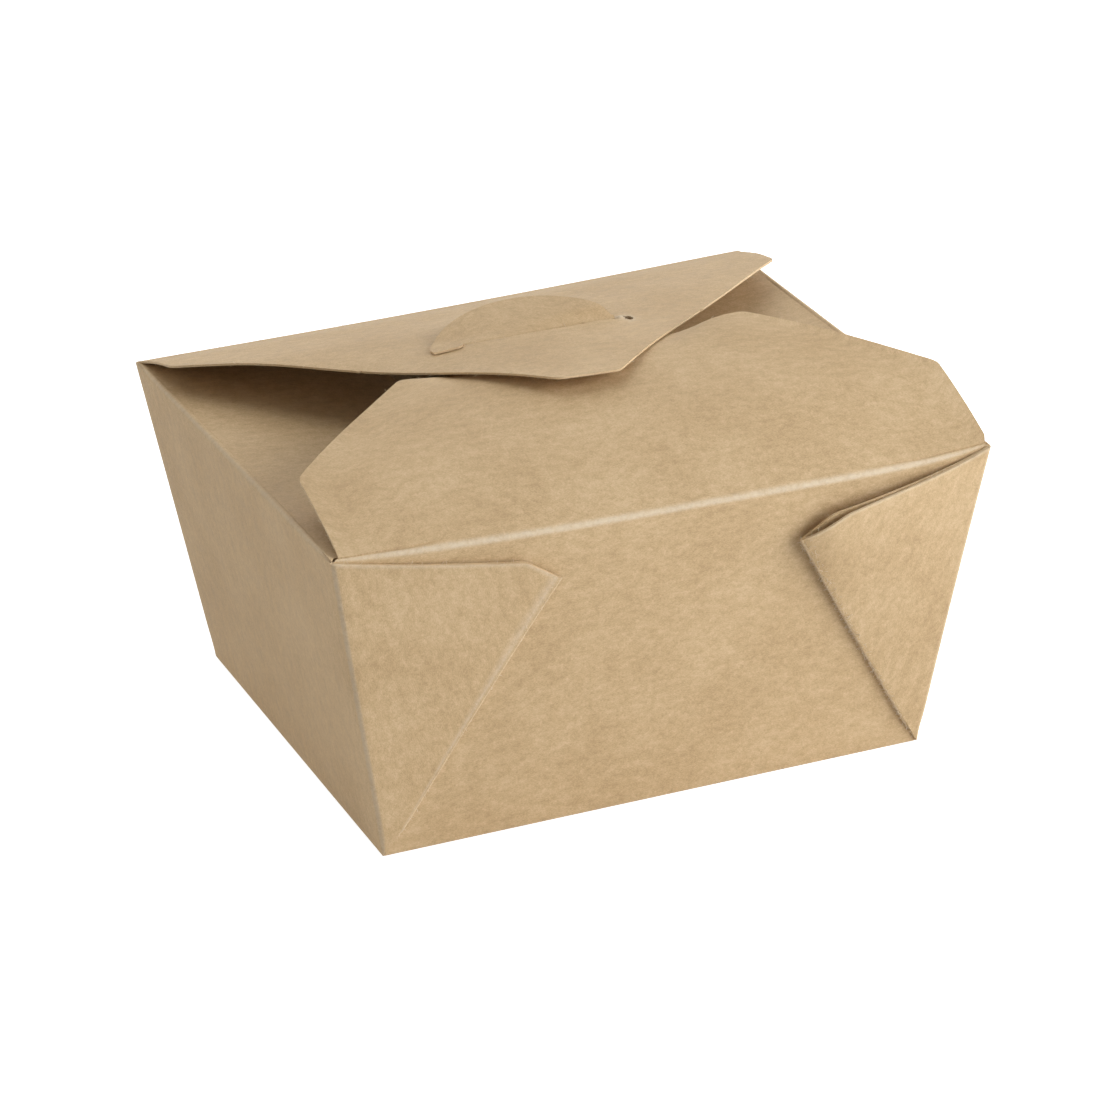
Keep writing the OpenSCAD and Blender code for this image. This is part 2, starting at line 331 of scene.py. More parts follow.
CREASE_HALF, FLAP_START = 65.3, 0.35
FRONT_REACH, FRONT_FAR, FRONT_SQUARE, FRONT_RISE = 48.5, 35.5, 20.8, 12.9
front_line = outline((0, CREASE_HALF), (0.6, FLAP_HALF, 0.2), (FRONT_SQUARE, FLAP_HALF, 1.4),
                     (FRONT_REACH, FRONT_FAR, 1.4), (FRONT_REACH, 0))
LID_REACH, LID_POINT, LID_SQUARE = 77.5, 6.3, 19.0
lid_line = outline((0, CREASE_HALF), (1.2, FLAP_HALF, 0.4), (LID_SQUARE, FLAP_HALF, 1.6),
                   (LID_REACH, LID_POINT, 1.6), (LID_REACH, 0))
SIDE_REACH, SIDE_CLIP, SIDE_SAG, SIDE_HALF = 45.0, 16.0, math.radians(4), TOP_D - 1.4
side_line = outline((0, TOP_D + 0.1), (1.2, SIDE_HALF, 0.4),
                    (SIDE_REACH - SIDE_CLIP, SIDE_HALF, 1.6),
                    (SIDE_REACH, SIDE_HALF - SIDE_CLIP, 1.6), (SIDE_REACH, 0))

# %% [markdown]
# ## Side views of the lid, the front flap and the tongue
# The lid is a gentle arch: it leaves its crease at about 18 degrees and levels out. The front
# flap rises from its crease and is pressed down in the middle by the lid. The tongue dips under
# the lid, climbs through the slit and lies out over it.

# %% Side views
LID_ANGLE, LID_ARCH_R = math.radians(18.3), 300.0
# The hang of each free edge, left and right: how deep, and from which reach to which.
LID_DROOP = ((1.65, 28.0, 74.0), (1.1, 15.0, 73.0))
LID_CLEAR, LID_BLEND = 0.3, 0.02
SLIT_REACH = 48.0
slit_from_front = 2 * TOP_D - SLIT_REACH


def lid_rise(d):
    """The lid's arch: its rise over the crease at a reach d."""
    across = LID_ARCH_R * math.sin(LID_ANGLE) - d
    return np.sqrt(LID_ARCH_R ** 2 - across ** 2) - LID_ARCH_R * math.cos(LID_ANGLE)


def lid_droop(share, d):
    """The lid's free slanting edges hang a little; share is -1 at its left edge, 1 at its right."""
    left, right = [drop * np.sin(math.pi * np.clip((d - a) / (b - a), 0, 1)) ** 2
                   for drop, a, b in LID_DROOP]
    share = np.clip(share, -1, 1)
    return mix(left, right, (share + 1) / 2) * share ** 2


def bezier(p, f):
    """Points of a cubic curve through the first and last of four points."""
    p, f = np.array(p, float), np.asarray(f)[..., None]
    return (p[0] * (1 - f) ** 3 + 3 * p[1] * f * (1 - f) ** 2
            + 3 * p[2] * f * f * (1 - f) + p[3] * f ** 3)


FRONT_CURVE = [(0, 0), (0.33 * FRONT_REACH, 0.645 * FRONT_RISE),
               (0.667 * FRONT_REACH, 0.908 * FRONT_RISE), (FRONT_REACH, FRONT_RISE)]
front_mid_rise = lid_rise(2 * TOP_D - FRONT_REACH) - CARD - LID_CLEAR
slope = (LID_REACH - 2 * TOP_D + FRONT_REACH) / (LID_REACH - LID_SQUARE)
press_half = mix(LID_POINT, FLAP_HALF, slope) + LID_CLEAR
PRESS_LEN, PRESS_FADE = 13.0, 9.0


def press(x, d):
    """How far the lid presses the front flap's middle down."""
    along = np.clip((d - FRONT_REACH + PRESS_LEN) / PRESS_LEN, 0, 1)
    beside = np.clip((np.abs(x) - press_half) / PRESS_FADE, 0, 1)
    from_rear = 2 * TOP_D - d
    share = x / half_width(lid_line, from_rear)
    deep = FRONT_RISE - front_mid_rise + lid_droop(share, from_rear)
    return deep * along ** 2 * (1 - smooth(beside))


def over_lid(x, from_rear, z):
    """How far a point of the front flap must still drop to stay clear of the lid above it."""
    half = half_width(lid_line, from_rear)
    pull = flap_pull("lid", x / half, from_rear)
    share = (x - pull[..., 0]) / half
    lid = TOP_Z + lid_rise(from_rear) + pull[..., 2] - lid_droop(share, from_rear)
    over = z - (lid - CARD - LID_CLEAR)
    beside = np.clip((np.abs(x - pull[..., 0]) - half) / PRESS_FADE, 0, 1)
    return (over + np.sqrt(over ** 2 + LID_BLEND)) / 2 * (1 - smooth(beside))


print("flap edge rises", FRONT_RISE, "mm, pressed to", round(float(front_mid_rise), 2))

# %% [markdown]
# ## The front strip
# This strip is one long ribbon of the sheet: half the base, the front wall, the front crease and
# the front flap. Its rows follow the ribbon and its columns run along it. The front crease is
# the softest fold of the box: wide in the middle and tight at its two ends, by the webs.

# %% Columns, base rows and the front strip
TONGUE_ROOT = 17.0
TONGUE_SHARE = TONGUE_ROOT / FRONT_FAR
BASE_ROWS, FOOT_STEPS, FOLD_STEPS = 12, 5, 8
PIN_POWER, FLAP_MATCH, SHIFT_FADE = 12, 0.86, 14
# The last value pales the front crease: partly real wear, partly a painted highlight of the light
# on the fold.
FOOT_WEAR, SIDE_WEAR, FRONT_WEAR = 0.5, 0.5, 0.85
WALL_CREST = FOOT_STEPS + STATIONS - 1
front_cols = np.concatenate([np.linspace(-1, -TONGUE_SHARE, 13)[:-1],
                             np.linspace(-TONGUE_SHARE, TONGUE_SHARE, 17),
                             np.linspace(TONGUE_SHARE, 1, 13)[1:]])


def tight_ends(middle, end, cols, power=10):
    return mix(middle, end, np.abs(cols) ** power)


def base_rows(cols, half_w, half_d):
    """From the middle of the base, where front and rear share even columns, to the wall's turn."""
    y = np.linspace(0, half_d, BASE_ROWS + 1)
    even = np.linspace(-1, 1, len(cols))
    return np.array([[(half_w * s, v, BASE_Z) for s in mix(even, cols, v / half_d)] for v in y])


def wall_rows(cols, foot, crease, ahead, trims, halves, edge, power):
    """Bottom fold and wall of one strip as (along, out, up), and the ends of its top fold.
    The outer columns take the corner's own stations, and the next ones follow a little."""
    base_half, end_half = halves
    up = unit(crease - foot)
    turn = bend_curve(foot - [BASE_TRIM, 0], foot, foot + up * BASE_TRIM, FOOT_STEPS)
    widths = mix(base_half - BASE_TRIM, end_half(station[0]), np.linspace(0, 1, FOOT_STEPS + 1))
    bottom = np.array([[(w * s, out, z) for s in cols] for w, (out, z) in zip(widths, turn)])
    ends = [crease_ends(crease, -up, ahead, t) for t in trims]
    wall = np.zeros((STATIONS, len(cols), 3))
    for c, s in enumerate(cols):
        middle = mix(turn[-1], ends[c][0], climb[:, None])
        straight = np.hstack([(s * end_half(station))[:, None], middle])
        wall[:, c] = mix(straight, edge * [np.sign(s) or 1, 1, 1], abs(s) ** power)
    return bottom, wall, ends


def long_wall(cols, ahead, trims):
    """Base, bottom fold and wall of the front or rear strip, made for a wall on the +y side."""
    bottom, wall, ends = wall_rows(cols, np.array([BASE_D, BASE_Z]), np.array([TOP_D, TOP_Z]),
                                   ahead, trims, (BASE_W, wall_end_x), wall_edge(station),
                                   PIN_POWER)
    return [base_rows(cols, BASE_W - BASE_TRIM, BASE_D - BASE_TRIM), bottom[1:]], wall, ends


def top_fold(wall, ends, cols, wall_half, flap_half, pull=0.0):
    """The fold from a wall into its flap, whose pull grows over it."""
    fold = np.zeros((FOLD_STEPS + 1, len(cols), 3))
    share = np.linspace(0, 1, FOLD_STEPS + 1)
    for c in range(len(cols)):
        fold[:, c, 1:] = bend_curve(wall[-1, c, 1:], ends[c][1], ends[c][2], FOLD_STEPS)
    fold[:, :, 0] = mix(wall_half, flap_half, share)[:, None] * cols
    return fold + share[:, None, None] * pull


def strip_wear(grid, foot_row):
    """Pale rubbed marks of a strip, with those of its bottom fold filled in."""
    wear = np.zeros(grid.shape[:2])
    wear[foot_row:foot_row + FOOT_STEPS + 1] = FOOT_WEAR * ridge(FOOT_STEPS)[:, None]
    return wear


def front_strip(sheet):
    cols = front_cols
    crease = np.array([TOP_D, TOP_Z])
    direction = np.array(FRONT_CURVE[1], float)
    ahead = unit(np.array([-direction[0], direction[1]]))
    trims = tight_ends(1.25, 0.4, cols)
    rows, wall, ends = long_wall(cols, ahead, trims)
    fold = top_fold(wall, ends, cols, wall_end_x(1.0), half_width(front_line, FLAP_START),
                    flap_pull("front", cols, 0.0))
    flap = front_flap_rows(cols, trims, [end[1] - crease for end in ends])
    grid = np.concatenate([*rows, wall[1:], fold[1:], flap])
    wear = strip_wear(grid, BASE_ROWS)
    crest = BASE_ROWS + WALL_CREST
    # The front crease's pale band: partly real wear, partly a painted highlight of the light on the
    # fold.
    worn = FRONT_WEAR * ridge(FOLD_STEPS)[:, None] ** 2 * tight_ends(1, 0.4, cols)
    wear[crest:crest + FOLD_STEPS + 1] = worn
    grid[:, :, 1] *= -1
    net = np.stack([grid[:, :, 0], -column_lengths(grid, 0)], -1)
    sheet.add(grid, net, wear)
    return grid[-1], net[-1]


def front_flap_rows(cols, trims, shifts):
    """The bent flap, from just past its crease to its far edge, in the strip's own +y frame."""
    reach = rows_for(front_line, FLAP_START, FRONT_REACH, 30)
    along = np.linspace(0, 1, 400)
    rows = np.zeros((len(reach), len(cols), 3))
    for c, s in enumerate(cols):
        first = trims[c] * FLAP_MATCH
        d = mix(first, FRONT_REACH, (reach - FLAP_START) / (FRONT_REACH - FLAP_START))
        d = mix(d, reach, abs(s) ** 6)
        side = bezier(FRONT_CURVE, np.interp(d, bezier(FRONT_CURVE, along)[:, 0], along))
        x = s * half_width(front_line, side[:, 0])
        z = TOP_Z + side[:, 1] - press(x, side[:, 0])
        rows[:, c] = np.stack([x, TOP_D - side[:, 0], z], -1)
        rows[:, c] += flap_pull("front", np.full(len(d), s), side[:, 0])
        rows[:, c, 1:] += shifts[c] * (1 - smooth(d / SHIFT_FADE))[:, None]
        rows[:, c, 2] -= over_lid(rows[:, c, 0], 2 * TOP_D - side[:, 0], rows[:, c, 2])
    return rows[1:]


carton = CardSheet()
far_edge, far_net = front_strip(carton)
print("front strip ends at y", round(float(far_edge[len(front_cols) // 2][1]), 2))

# %% [markdown]
# ## The rear strip and the lid
# The rear wall, its crease and the lid are again one ribbon, but the crease is the one fold that
# opens again and again, so it is the joint. We make the ribbon in one go and cut it into three
# pieces with matching edges: the wall stays with the box, the lid turns, and a narrow band of
# card lies between them, left where it is made. The slit is a row of missing faces, with its lips
# pushed apart by the tongue, pinched in its left part, and a small worn hole at its right end.

# %% Rear strip and lid
BAND = 2.6
SLIT_LEFT, SLIT_RIGHT, SLIT_GAPE = -20.0, 18.2, 0.7
LIP_SPREAD, LIP_REACH, LIP_HALF, LIP_FADE = 0.34, 5, 20, 6
LIP_END, LIP_END_X, LIP_END_WIDE = 0.8, 15, 4
SLIT_TIGHT, SLIT_OPEN, TIGHT_FADE = (-14.0, 9.0), 0.12, 3
# The worn hole is two ovals: the centre and half-sizes of each, across and along the lid.
HOLE = [(np.array([20.3, 47.4]), np.array([0.85, 1.6])),
        (np.array([19.55, 46.3]), np.array([0.6, 0.75]))]
CURL, CURL_RISE, CURL_LONG = np.array([18.7, 46.9]), 0.6, 1.4
# By the slit's right end the columns (first, last, step) and rows (first, step) are finer, and
# two more rows lie just past the slit.
FINE_COLS, FINE_ROWS, ROWS_AHEAD = (15.8, 22.4, 0.3), (45.35, 0.3), [48.7, 49.1]
REAR_WEAR, CURL_WEAR, HOLE_WEAR = 0.6, 0.9, 0.7
rear_cols = np.linspace(-1, 1, 41)


def slit_lips(x, d):
    """The tongue lifts the slit's front lip and presses the rear lip down."""
    gap = d - SLIT_REACH
    by_end = LIP_END * np.exp(-((x - LIP_END_X) / LIP_END_WIDE) ** 2) * (gap > 0)
    inside = smooth((LIP_HALF - np.abs(x)) / LIP_FADE) + by_end
    curl = CURL_RISE * np.exp(-((x - CURL[0]) ** 2 + ((d - CURL[1]) / CURL_LONG) ** 2) / 0.5)
    return LIP_SPREAD * inside * np.sign(gap) * np.exp(-np.abs(gap) / LIP_REACH) + curl


def lid_height(x, d):
    """How far the lid's middle surface stands over its crease."""
    share = x / half_width(lid_line, d)
    return lid_rise(d) + slit_lips(x, d) + flap_pull("lid", share, d)[..., 2] - lid_droop(share, d)


def lid_point(s, d):
    """A point of the lid: s runs from -1 to 1 across it, d is the reach from its crease."""
    x = s * half_width(lid_line, d)
    pull = flap_pull("lid", s, d)
    return np.stack([x + pull[..., 0], TOP_D - d + 0 * x, TOP_Z + lid_height(x, d)], -1)


def lid_stations():
    """Columns and rows of the lid, finer by the slit's end, with rows on both slit lips."""
    half = half_width(lid_line, SLIT_REACH)
    fine = np.arange(*FINE_COLS) / half
    cols = np.concatenate([np.linspace(-1, SLIT_LEFT / half, 13),
                           np.linspace(SLIT_LEFT / half, fine[0], 25),
                           fine, np.linspace(fine[-1], 1, 13)])
    lips = [SLIT_REACH - SLIT_GAPE / 2, SLIT_REACH + SLIT_GAPE / 2]
    behind = np.arange(FINE_ROWS[0], lips[0] - 0.1, FINE_ROWS[1])
    extra = np.concatenate([behind, lips, ROWS_AHEAD])
    reach = rows_for(lid_line, BAND, LID_REACH, 44)
    reach = reach[(reach < extra[0] - 0.4) | (reach > extra[-1] + 0.4)]
    return np.unique(np.round(cols, 4)), np.sort(np.concatenate([reach, extra]))


def lid_grid():
    s, d = np.meshgrid(*lid_stations())
    flat = np.stack([s * half_width(lid_line, d), d], -1)
    gap = d - SLIT_REACH
    x = flat[..., 0]
    slack = (smooth((x - SLIT_TIGHT[0]) / TIGHT_FADE + 1)
             * smooth(1 - (x - SLIT_TIGHT[1]) / TIGHT_FADE))
    open_here = mix(SLIT_OPEN, 1, slack)
    lip = np.abs(gap) < SLIT_GAPE / 2 + 0.01
    cell = (flat[:-1, :-1] + flat[1:, 1:]) / 2
    in_slit = (np.abs(cell[..., 1] - SLIT_REACH) < SLIT_GAPE / 2)
    in_slit &= (cell[..., 0] > SLIT_LEFT) & (cell[..., 0] < SLIT_RIGHT)
    in_hole = np.zeros_like(in_slit)
    near = np.full(s.shape, 9.0)
    for centre, size in HOLE:
        inside = np.linalg.norm((cell - centre) / size, axis=2) < 1
        in_hole |= inside
        rim = np.zeros(s.shape, bool)
        for down, over in ((0, 0), (0, 1), (1, 0), (1, 1)):
            rim[down:s.shape[0] - 1 + down, over:s.shape[1] - 1 + over] |= inside
        out = (flat - centre) / size
        far = np.linalg.norm(out, axis=2)
        rim &= far > 0.6
        flat[rim] = centre + (out[rim] / far[rim][:, None]) * size
        near = np.minimum(near, far)
    flat[lip, 1] = SLIT_REACH + (gap * open_here)[lip]
    points = lid_point(flat[..., 0] / half_width(lid_line, flat[..., 1]), flat[..., 1])
    from_curl = ((flat - CURL) / [0.9, CURL_LONG]).transpose(2, 0, 1)
    wear = CURL_WEAR * np.exp(-np.hypot(*from_curl) ** 2)
    by_hole = HOLE_WEAR * np.exp(-np.clip(near - 1, 0, None) * 2.0) * (near < 3)
    return points, flat, np.maximum(wear, by_hole), ~(in_slit | in_hole)


def rear_strip(carton_sheet, band_sheet, lid_sheet):
    cols = rear_cols
    ahead = np.array([-math.cos(LID_ANGLE), math.sin(LID_ANGLE)])
    rows, wall, ends = long_wall(cols, ahead, tight_ends(0.85, 0.4, cols))
    cut = STATIONS - 2
    grid = np.concatenate([*rows, wall[1:cut + 1]])
    net = np.stack([grid[:, :, 0], column_lengths(grid, 0)], -1)
    carton_sheet.add(grid, net, strip_wear(grid, BASE_ROWS))
    fold = top_fold(wall, ends, cols, wall_end_x(1.0), half_width(lid_line, FLAP_START),
                    flap_pull("lid", cols, 0.0))
    last = np.array([lid_point(s, BAND) for s in cols])
    before = mix(fold[-1], last, 0.5)
    band = np.concatenate([wall[cut:], fold[1:], before[None], last[None]])
    band_net = np.stack([band[:, :, 0], column_lengths(band, net[-1, :, 1])], -1)
    band_wear = np.zeros(band.shape[:2])
    crest = len(wall) - cut - 1
    band_wear[crest:crest + FOLD_STEPS + 1] = REAR_WEAR * ridge(FOLD_STEPS)[:, None]
    band_sheet.add(band, band_net, band_wear)
    lid, flat, lid_wear, keep = lid_grid()
    base = band_net[-1, len(cols) // 2, 1] - BAND
    lid_sheet.add(lid, flat + [0, base], lid_wear, keep)
    return wall[cut]


band_sheet, lid_sheet = CardSheet(), CardSheet()
band_start = rear_strip(carton, band_sheet, lid_sheet)
band_z = float(band_start[len(rear_cols) // 2][2])
print("the bending band starts", round(TOP_Z - band_z, 2), "mm under the crease")

# %% [markdown]
# ## Side strips
# Left and right are alike: a wall that is wider than the box is deep, because its ends turn the
# corners, and a flap folded in under the others. The base edge uses the base's own rows.

# %% Side strips
side_cols = np.concatenate([-np.linspace(1, 0, BASE_ROWS + 1)[:-1],
                            np.linspace(0, 1, BASE_ROWS + 1)])
side_lean = math.atan2(TOP_W - BASE_W, TOP_Z - BASE_Z)
SWAP_XY = [1, 0, 2]


def side_strip(sheet, side):
    """Made as (y, x, z) on the +x side, then turned round and mirrored."""
    cols = side_cols
    ahead = np.array([-math.cos(SIDE_SAG), -math.sin(SIDE_SAG)])
    bottom, wall, ends = wall_rows(cols, np.array([BASE_W, BASE_Z]), np.array([TOP_W, TOP_Z]),
                                   ahead, tight_ends(0.85, 0.3, cols, 14), (BASE_D, side_end_y),
                                   side_edge(station)[:, SWAP_XY], 14)
    fold = top_fold(wall, ends, cols, side_end_y(1.0), side_line[0, 1])
    reach = rows_for(side_line, 0.5, SIDE_REACH, 24)[1:]
    flap = np.zeros((len(reach), len(cols), 3))
    flap[:, :, 0] = half_width(side_line, reach)[:, None] * cols
    flap[:, :, 1] = TOP_W - (reach * math.cos(SIDE_SAG))[:, None]
    flap[:, :, 2] = TOP_Z - (reach * math.sin(SIDE_SAG))[:, None]
    grid = np.concatenate([bottom, wall[1:], fold[1:], flap])[:, :, SWAP_XY]
    wear = strip_wear(grid, 0)
    worn = SIDE_WEAR * ridge(FOLD_STEPS)[:, None] ** 2
    wear[WALL_CREST:WALL_CREST + FOLD_STEPS + 1] = worn
    lengths = column_lengths(grid, BASE_W - BASE_TRIM)
    grid = grid * [side, 1, 1]
    sheet.add(grid, np.stack([side * lengths, grid[:, :, 1]], -1), wear)


for side in (-1, 1):
    side_strip(carton, side)
print("side walls lean out by", round(math.degrees(side_lean), 1), "degrees")

# %% [markdown]
# ## Corner webs
# The web is the skilled part of the fold. From the side wall the card turns the corner, lies over
# the front wall to the slanted fold, turns right back on itself, returns to the corner under its
# own outer ply and folds back once more into the front wall. Every row of this grid is one level
# of the corner, so the whole web, with its three folds, is a single patch of the sheet.

# %% Corner webs
# For each corner (x side, y side): the fold's tip and the clipped corners of the outer and inner
# ply, as (x, height up the wall); then the lift, belly and mouth of the plies, and the fraying.
WEBS = {(-1, -1): ((21.8, 53.1), (28.9, 58.1), (28.7, 58.1), 0.5, 0.3, 0.25, 0.12),
        (1, -1): ((26.5, 52.3), (35.2, 57.3), (32.4, 57.2), 1.8, 1.3, 1.1, 1.0),
        (-1, 1): ((24.3, 52.5), (31.8, 57.4), (31.3, 57.5), 1.8, 0.6, 0.4, 0.3),
        (1, 1): ((24.3, 52.5), (31.3, 57.5), (31.3, 57.5), 0.5, 0.3, 0.2, 0.12)}
CORNER_STEPS, BACK_STEPS, PLY_COLS, CLIP_COLS = 6, 8, 18, 8
# The first value pales each vertical corner: partly wear, partly a painted highlight on a corner
# the lamps barely reach.
CORNER_WEAR, EDGE_WEAR, MOUTH_FROM = 0.62, 0.5, 0.35
SOFT_CLIP, SOFT_TIP = 1.5, 0.8


def top_edge(clip, tip):
    """The web's cut top edge, from the corner's head over the clipped corner to its tip."""
    def on_wall(place):
        x, up = place
        return np.array([x, BASE_D, BASE_Z]) + WALL_UP * up
    soft = on_wall(clip) + unit(HEAD - on_wall(clip)) * SOFT_CLIP
    long_part = mix(HEAD, soft, np.linspace(0, 1, PLY_COLS)[:, None])
    after = on_wall(clip) + unit(on_wall(tip) - on_wall(clip)) * SOFT_TIP
    turn = bend_curve(soft, on_wall(clip), after, 3)[1:]
    short_part = mix(after, on_wall(tip), np.linspace(0, 1, CLIP_COLS)[1:, None])
    return np.vstack([long_part, turn, short_part])


def ply(edge, start_shift, height, sag_out):
    """One ply: rows climb the corner, columns cross from the corner to the slanted fold."""
    v = station[:, None, None]
    flat = FOOT + (edge - FOOT) * v
    width = web_width(station)
    scale = (1 - start_shift / width)[:, None, None]
    points = flat[:, :1] + (flat - flat[:, :1]) * scale
    points[:, :, 0] -= start_shift[:, None]
    points[:, :, 1] += (height + sag_out) / math.cos(lean)
    return points


def back_fold(first, second, bulge):
    """A fold right back on itself, from the end of one ply to the start of the next."""
    angle = np.linspace(0, math.pi, BACK_STEPS + 1)[:, None, None]
    middle, arm = (first + second) / 2, (first - second) / 2
    reach = np.linalg.norm(arm, axis=1)[:, None] * [bulge, 0, 0]
    return (middle + arm * np.cos(angle) + reach * np.sin(angle)).transpose(1, 0, 2)


def web(sheet, sx, sy, tip, outer, inner, lift, belly, gap, fray):
    """One web, made at the +x +y corner: sx and sy put it in its own corner."""
    v = station[:, None]
    outer_edge, inner_edge = top_edge(outer, tip), top_edge(inner, tip)
    across = (HEAD[0] - outer_edge[:, 0]) / (HEAD[0] - tip[0])
    stand = lift * across * v ** 3
    swell = belly * np.sin(math.pi * np.clip(across, 0, 1) ** 1.3) * v ** 3
    far = np.clip((across - MOUTH_FROM) / (1 - MOUTH_FROM), 0, 1)
    mouth = gap * np.sin(math.pi * far ** 3) * v ** 6
    outer_h = ply_height(2, station)[:, None]
    inner_h = ply_height(1, station)[:, None]
    radius, inset = corner_radius(station), corner_inset(station)
    outer = ply(outer_edge, radius, outer_h, stand + swell + mouth)
    inner = ply(inner_edge, inset, inner_h, stand + swell)
    angle = np.linspace(0, math.pi / 2, CORNER_STEPS + 1)
    centre = side_edge(station) - np.array([1, 0, 0]) * radius[:, None]
    turn = np.zeros((STATIONS, CORNER_STEPS + 1, 3))
    turn[:, :, 0] = centre[:, :1] + radius[:, None] * np.cos(angle)
    turn[:, :, 1] = centre[:, 1:2] + radius[:, None] * np.sin(angle)
    turn[:, :, 2] = centre[:, 2:]
    tip_fold = back_fold(outer[:, -1], inner[:, -1], -1.1)
    root_fold = back_fold(inner[:, 0], wall_edge(station), 1.0)
    grid = np.hstack([turn, outer[:, 1:], tip_fold[:, 1:], inner[:, -2::-1], root_fold[:, 1:]])
    fold_at = CORNER_STEPS + len(outer_edge) - 1
    wear, frayed = web_marks(grid.shape[:2], fold_at, fray)
    sheet.add(grid * [sx, sy, 1], web_net(grid) * [sx, sy], wear, None, frayed)


def web_marks(shape, fold_at, fray):
    """Pale rubbed card on the corner, partly painted highlight, the cut top edge and the slanted
    fold, and the fraying of that fold.
    """
    wear, frayed = np.zeros(shape), np.zeros(shape)
    # Pale band round the vertical corner: partly wear, partly painted highlight.
    wear[:, :CORNER_STEPS + 1] = CORNER_WEAR * ridge(CORNER_STEPS)
    wear[:, fold_at - 1], wear[:, fold_at - 2] = 0.55 * (1 - fray), 0.2 * (1 - fray)
    wear[-1, CORNER_STEPS:fold_at] = np.maximum(wear[-1, CORNER_STEPS:fold_at], EDGE_WEAR)
    wear[:, fold_at:fold_at + BACK_STEPS + 1] = (1 - 0.4 * fray) * ridge(BACK_STEPS)
    frayed[:, fold_at:fold_at + BACK_STEPS] = fray * smooth(station[:, None] / FOOT_SHARE)
    return wear, frayed


def web_net(grid):
    """Where the web's points lie on the flat sheet: a fan round the base's corner."""
    steps = np.linalg.norm(np.diff(grid, axis=1), axis=2)
    crossed = np.hstack([np.zeros((len(grid), 1)), np.cumsum(steps, axis=1)])
    share = crossed / crossed[:, -1:]
    radius = np.linalg.norm(grid - FOOT, axis=2)
    first = math.atan2(TOP_D - BASE_D, TOP_Z)
    last = math.pi / 2 - math.atan2(TOP_W - BASE_W, TOP_Z)
    angle = mix(first, last, share)
    return np.stack([BASE_W + radius * np.cos(angle), BASE_D + radius * np.sin(angle)], -1)


for corner, shape in WEBS.items():
    web(carton, *corner, *shape)
print("webs made:", len(WEBS))

# %% [markdown]
# ## The tongue
# The tongue grows out of the middle of the front flap's far edge, so its first row is that edge.
# It narrows to a neck that passes through the slit. Behind the slit it widens at once into the
# half-moon tab, whose two ears hang a little forward over the lid and hold it shut.

# %% Tongue and half-moon tab
NECK, TAB_HALF, TAB_LEN, TAB_RISE = 12.4, 19.3, 13.2, 2.7
EAR_LEFT, EAR_RIGHT, EAR_BEHIND = 2.4, 0.3, 0.6
TAB_SHIFT, TAB_ROLL, ROOT_SHIFT = -2.9, 0.08, 2.0
EAR_ROUND, TAB_LEAST, TAB_CLEAR = 1.1, 0.8, 0.1
slit_rise = float(lid_height(0.0, SLIT_REACH))
UNDER_CURVE = [(FRONT_REACH - 0.02, front_mid_rise),
               (mix(FRONT_REACH, slit_from_front, 0.32), front_mid_rise - 0.6),
               (slit_from_front - 3.4, slit_rise - 1.7), (slit_from_front, slit_rise)]
OVER_CURVE = [(slit_from_front, slit_rise), (slit_from_front + 2, slit_rise + 0.75),
              (slit_from_front + TAB_LEN / 2, slit_rise + 0.5 * TAB_RISE),
              (slit_from_front + TAB_LEN + 3, slit_rise + 1.05 * TAB_RISE)]


def side_height(d):
    """Rise of the tongue's middle surface at a reach from the front crease."""
    under = bezier(UNDER_CURVE, np.linspace(0, 1, 200))
    over = bezier(OVER_CURVE, np.linspace(0, 1, 200))
    line = np.vstack([under, over[1:]])
    return np.interp(d, line[:, 0], line[:, 1])


def tongue(sheet, edge, edge_net):
    """From the flap's far edge through the slit; returns what the tab grows on from."""
    inside = np.abs(front_cols) <= TONGUE_SHARE + 1e-6
    cols = front_cols[inside] / TONGUE_SHARE
    first = edge[inside]
    rows = [first[None]]
    for d in np.linspace(FRONT_REACH, slit_from_front + EAR_BEHIND, 14)[1:]:
        f = (d - FRONT_REACH) / (slit_from_front - FRONT_REACH)
        half = mix(TONGUE_ROOT, NECK, min(f, 1.0))
        shift = mix(ROOT_SHIFT, TAB_SHIFT, smooth(f))
        flat = np.stack([cols * half + shift, np.full(len(cols), d - TOP_D),
                         np.full(len(cols), TOP_Z + side_height(d))], -1)
        follow = 1 - smooth((d - FRONT_REACH) / 4)
        flat[:, 2] += follow * (first[:, 2] - TOP_Z - side_height(FRONT_REACH))
        rows.append(flat[None])
    neck = np.concatenate(rows)
    neck_net = np.stack([neck[:, :, 0], edge_net[inside][:, 1] - column_lengths(neck, 0)], -1)
    sheet.add(neck, neck_net)
    return cols, neck[-1, :, 0], neck_net[-1, :, 1]


def tab_plan(cols, start):
    """The half-moon seen from above: an arc behind, and a front edge with an ear at each end."""
    ears = np.linspace(NECK / TAB_HALF, 1, 10)[1:]
    wide = np.concatenate([-ears[::-1], cols * NECK / TAB_HALF, ears])
    out = smooth((np.abs(wide) * TAB_HALF - NECK) / EAR_ROUND)
    front = np.stack([wide * TAB_HALF, start - np.where(wide < 0, EAR_LEFT, EAR_RIGHT) * out], -1)
    radius = (TAB_HALF ** 2 + TAB_LEN ** 2) / (2 * TAB_LEN)
    turn = wide * math.asin(TAB_HALF / radius)
    centre = start + TAB_LEN - EAR_BEHIND - radius
    arc = np.stack([radius * np.sin(turn), centre + radius * np.cos(turn)], -1)
    arc[:, 1] = np.maximum(arc[:, 1], front[:, 1] + TAB_LEAST)
    return mix(front[None], arc[None], np.linspace(0, 1, 12)[:, None, None])


